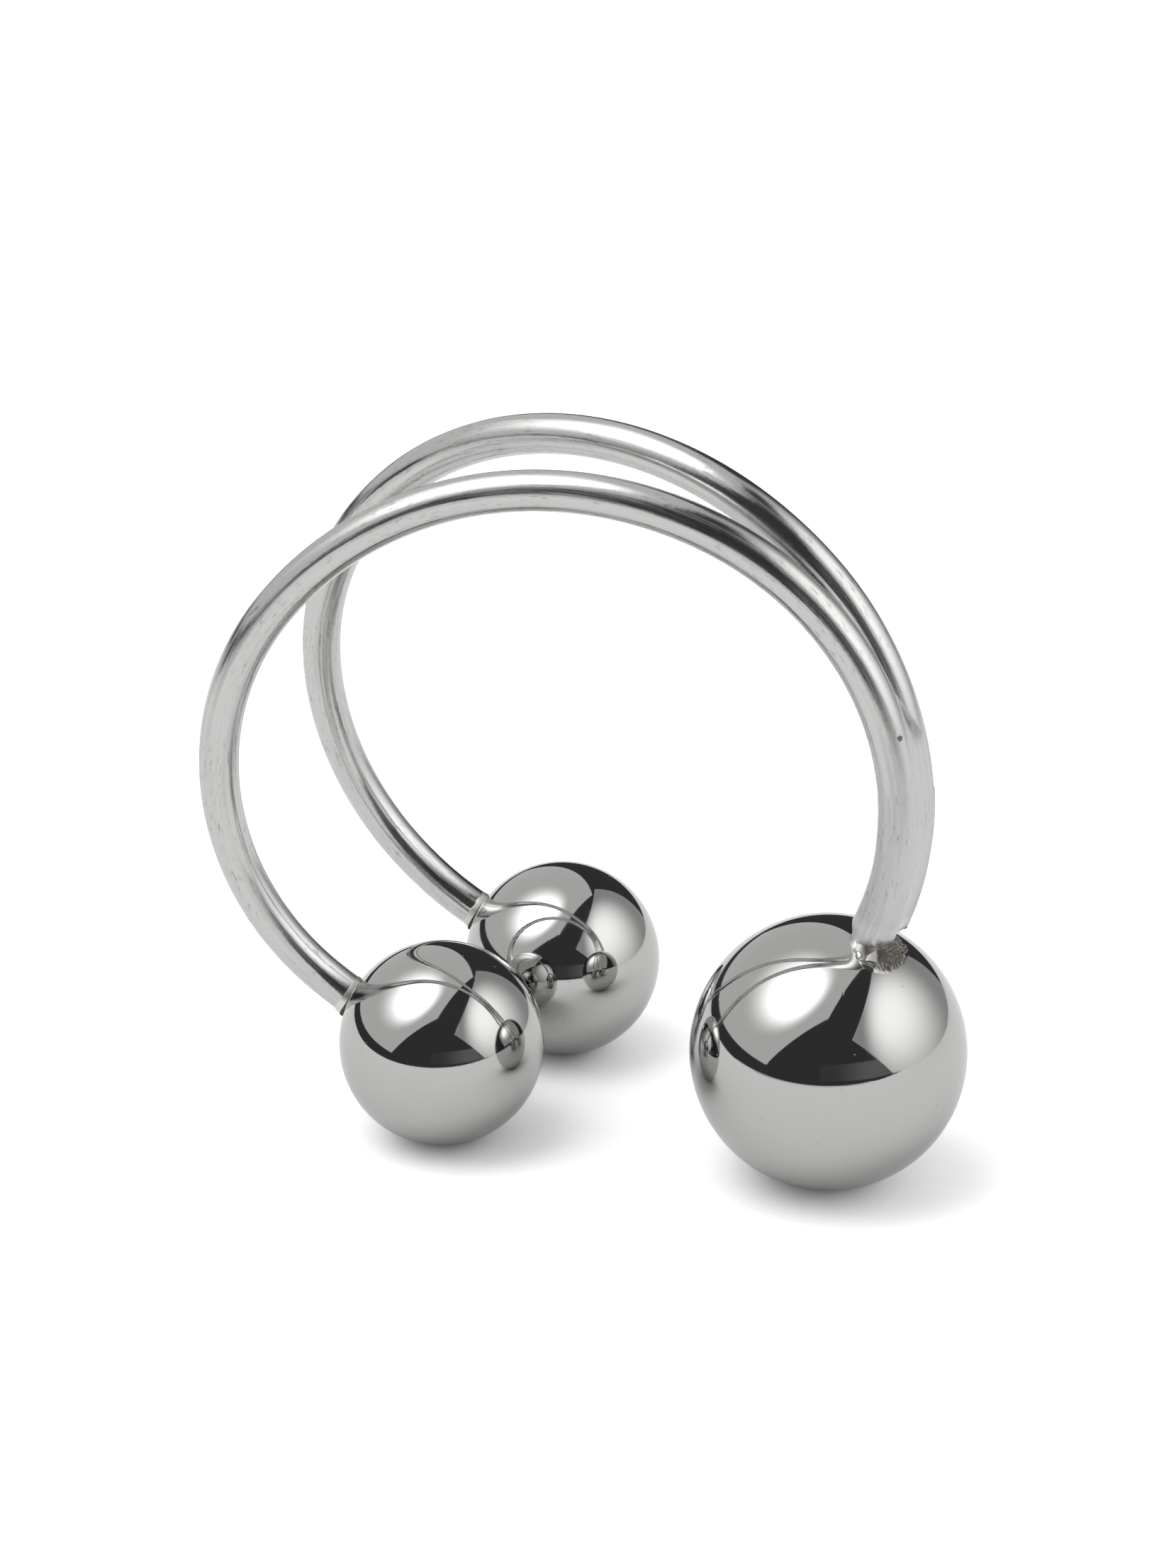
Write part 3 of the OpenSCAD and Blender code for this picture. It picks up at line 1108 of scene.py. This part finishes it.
# %% [markdown]
# ## A burr
# A small dark burr sticks out at the foot of the back wire. It could be left to a bump, but it
# shows in the outline, so it is a small turned drop that lies on its side.

# %% A burr on the back wire
SPOT_SEGMENTS = 32
BURR_AT = Vector((0.63, 0.66, 0.03)) * MM
BURR_WAY = Vector((0.9, 0.4, 0.1)).normalized()
BURR_OUTLINE = [(-0.09, 0), (-0.07, 0.045), (-0.01, 0.07), (0.05, 0.06), (0.09, 0.025), (0.1, 0)]
burr = turned("burr", BURR_OUTLINE, foot + BURR_AT, BURR_WAY, SPOT_SEGMENTS, seam_shade_and_burr_residue)
print("burr stands at (mm):", [round(v / MM, 2) for v in foot + BURR_AT])

# %% [markdown]
# ## Residue in the crotch
# Where the filling ends, a spot of grey residue sits in the notch. It could be a mask on the wire,
# but the wire's mirror would still shine through its edge. It is a flat drop, turned about the
# wire's outward direction there, and noise makes its edge ragged.

# %% Residue where the filling ends
SPOT_AT = 6.3 * MM
SPOT_SIDE = (-0.55, 0.835)
SPOT_OUTLINE = [(-0.04, 0), (-0.03, 0.05), (0.0, 0.08), (0.01, 0.065), (0.014, 0)]
spot_number = int(SPOT_AT / STEP)
spot_wire, spot_along = front_path[spot_number]
spot_across = (back_path[spot_number][0] - spot_wire).normalized()
spot_out = (spot_across * SPOT_SIDE[0] + spot_across.cross(spot_along) * SPOT_SIDE[1]).normalized()
spot = turned("pit_residue", SPOT_OUTLINE, spot_wire + spot_out * WIRE_R, spot_out,
              SPOT_SEGMENTS, pit_residue, uneven(height=0.03 * MM, scale=1.7))
print("residue stands at (mm):", [round(v / MM, 2) for v in spot_wire])

# %% [markdown]
# ## The studio
# Polished metal shows the room more than itself. The ring stands on white paper whose front edge
# is near, and past it the paper hangs down to a lower white table. A large tilted softbox is on
# the left and a long one on the right, with the dark room between them and a low grey card in
# front. The softboxes could be area lamps, but those are evenly bright. A softbox is white cloth
# that is brightest before its lamp, so each is a sheet whose glow fades from a hot spot.

# %% Sheets and their light
def flat_sheet(name, corners, material):
    """A four-cornered sheet of the studio."""
    mesh = bpy.data.meshes.new(name)
    mesh.from_pydata(corners, [], [(0, 1, 2, 3)])
    mesh.materials.append(material)
    made = link_mesh(name, mesh)
    return made


def glow(name, hot_spot, core, edge, spread):
    """Cloth lit from behind: core at the hot spot, edge far from it."""
    material, tree, _ = blank(name)
    tree.nodes.clear()
    out = node(tree, "ShaderNodeOutputMaterial")
    shine = node(tree, "ShaderNodeEmission")
    place = node(tree, "ShaderNodeTexCoord").outputs["Object"]
    reach = node(tree, "ShaderNodeVectorMath", operation="DISTANCE")
    tree.links.new(place, reach.inputs[0])
    reach.inputs[1].default_value = hot_spot
    fade = ramp(tree, reach.outputs["Value"], 0.0, spread, core, edge)
    fade.node.interpolation_type = "SMOOTHERSTEP"
    tree.links.new(fade, shine.inputs["Strength"])
    tree.links.new(shine.outputs[0], out.inputs["Surface"])
    return material


# Corners in metres, one after the other round each sheet
LEFT_BOX = [(-0.581, -0.992, 0.081), (0.367, -0.992, 1.287), (0.367, 0.786, 1.287), (-0.581, 0.786, 0.081)]
RIGHT_BOX = [(0.532, -0.149, 0.0), (0.162, 0.700, 0.0), (0.162, 0.700, 0.798), (0.88, -0.93, 0.798)]
GREY_CARD = [(0.9, -0.24, 0.0), (0.24, -0.9, 0.0), (0.24, -0.9, 0.2), (0.9, -0.24, 0.2)]
left_glow = glow("left_glow", (-0.165, -0.24, 0.61), core=3.8, edge=0.66, spread=0.54)
right_glow = glow("right_glow", (0.458, 0.022, 0.37), core=1.65, edge=0.38, spread=0.66)
card_glow = glow("card_glow", (0.75, -0.4, 0.1), core=0.16, edge=0.06, spread=0.6)
left_box = flat_sheet("left_softbox", LEFT_BOX, left_glow)
right_box = flat_sheet("right_softbox", RIGHT_BOX, right_glow)
card = flat_sheet("grey_card", GREY_CARD, card_glow)
print("lit sheets:", [sheet.name for sheet in (left_box, right_box, card)])

# %% [markdown]
# ## White paper
# On the paper the ring's shadows fall, and the camera sees the rest of it as pure white. More
# light could burn it out, but then the metal would burn out as well. So a Light Path node gives
# the camera a brighter paper than the one that the metal mirrors. The table and the lit sheets
# are there for the mirrors only.

# %% Floor and lower table
FLOOR_REACH = 1.2
FLOOR_FRONT = -52 * MM
FLOOR_BACK = 0.8
TABLE_DROP = 60 * MM
TABLE_FRONT = -0.83


def lit_paper(name, shade, to_camera):
    """White paper, which the camera sees a little overexposed."""
    material, tree, shader = blank(name)
    shader.inputs["Roughness"].default_value = 1.0
    shader.inputs["Specular IOR Level"].default_value = 0.0
    seen = node(tree, "ShaderNodeLightPath").outputs["Is Camera Ray"]
    tree.links.new(ramp(tree, seen, 0.0, 1.0, shade, to_camera), shader.inputs["Base Color"])
    return material


def level_sheet(name, front, back, height, material):
    """A level sheet across the whole studio."""
    corners = [(-FLOOR_REACH, front, height), (FLOOR_REACH, front, height),
               (FLOOR_REACH, back, height), (-FLOOR_REACH, back, height)]
    return flat_sheet(name, corners, material)


paper = lit_paper("white_paper", shade=0.86, to_camera=1.36)
floor = level_sheet("floor", FLOOR_FRONT, FLOOR_BACK, 0, paper)
table = level_sheet("lower_table", TABLE_FRONT, 0, -TABLE_DROP, paper)
for sheet in (left_box, right_box, table, card):
    sheet.visible_camera = False
print("paper:", [sheet.name for sheet in (floor, table)])

# %% [markdown]
# ## A lamp for the shadows
# The softboxes are so large that they leave hardly a shadow, and the ring would seem to float. A
# smaller one would show its edges in the balls. A lamp that polished metal doesn't see gives the
# shadows their direction instead.

# %% Shadow lamp
def area_light(name, place, size, power):
    """A soft lamp that lights the paper and doesn't show in the metal."""
    data = bpy.data.lights.new(name, "AREA")
    data.size, data.energy = size, power
    lamp = bpy.data.objects.new(name, data)
    aim = (-place).to_track_quat("-Z", "Y").to_matrix().to_4x4()
    lamp.matrix_world = Matrix.Translation(place) @ aim
    lamp.visible_glossy = False
    bpy.context.collection.objects.link(lamp)
    return lamp


shadow_lamp = area_light("shadow_lamp", Vector((-0.42, -0.3, 0.62)), size=0.45, power=14.0)
print("lamp stands at (m):", [round(v, 2) for v in shadow_lamp.location])

# %% [markdown]
# ## The dark room
# Past the paper the metal shows a dark room, while the paper is lit by what comes back from the
# room's ceiling and the camera sees white behind it. Walls could give all three, with much tuning.
# A world that answers each kind of ray with its own tone is simpler, and renders faster.

# %% The room as a world
ROOM_TONE = (0.045, 0.045, 0.045, 1)
DOME_TONE = (0.63, 0.63, 0.63, 1)
WHITE = (1, 1, 1, 1)


def dark_room():
    """A world that is dark in the metal, dim on the paper and white to the camera."""
    room = bpy.data.worlds.new("room")
    room.use_nodes = True
    tree = room.node_tree
    rays = node(tree, "ShaderNodeLightPath").outputs
    metal_sees = mixed(tree, rays["Is Glossy Ray"], DOME_TONE, ROOM_TONE)
    camera_sees = mixed(tree, rays["Is Camera Ray"], metal_sees, WHITE)
    tree.links.new(camera_sees, tree.nodes["Background"].inputs["Color"])
    return room


bpy.context.scene.world = dark_room()
bpy.context.scene.view_settings.view_transform = "Standard"
print("world:", bpy.context.scene.world.name)

# %% [markdown]
# ## Hand the pieces to the frame
# Each piece is given the body it moves with, and the frame's own solid is hidden. They could be
# joined into one mesh, but separate pieces keep their names and finishes. Soldered metal is one
# body, so each piece rides on the same one, and the one solid, ball_ring, is hidden.

# %% One body, one solid
pieces = [front_arm, back_arm, stem_filling, front_ball, back_ball, large_ball, front_collar, back_collar,
          front_seam, back_seam, foot_solder, burr, spot]
for piece in pieces:
    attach(piece, "root")
    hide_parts("ball_ring")
print("pieces and faces:", {piece.name: len(piece.data.polygons) for piece in pieces})
